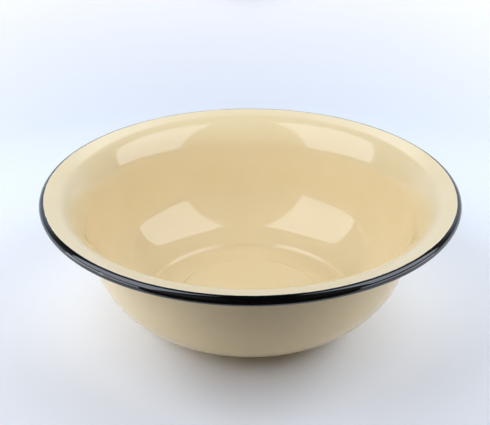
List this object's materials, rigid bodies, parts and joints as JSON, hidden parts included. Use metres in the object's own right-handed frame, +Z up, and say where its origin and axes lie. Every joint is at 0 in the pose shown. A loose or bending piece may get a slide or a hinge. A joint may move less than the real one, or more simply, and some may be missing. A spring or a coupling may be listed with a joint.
{
  "type": "enamel basin bowl",
  "caption": "Round enamelled steel basin bowl with a steep wall, a flared brim, a curled rim with dark edging and a foot ring, for mixing, serving or washing.",
  "frame": {"origin": "on the bowl's axis, in the plane of the flat foot ring that it stands on", "axes": "+Z up along the bowl's axis, X and Y across the rim"},
  "size_m": [0.3, 0.3, 0.0955],
  "materials": {
    "steel": "bare sheet",
    "ground_enamel": "gloss",
    "cream_enamel": "gloss",
    "black_enamel": "gloss"
  },
  "bodies": {
    "root": {"steel_pressing": "steel", "inner_ground_coat": "ground_enamel", "outer_ground_coat": "ground_enamel", "inner_cover_coat": "cream_enamel", "outer_cover_coat": "cream_enamel", "rim_coat": "black_enamel"}
  },
  "joints": []
}
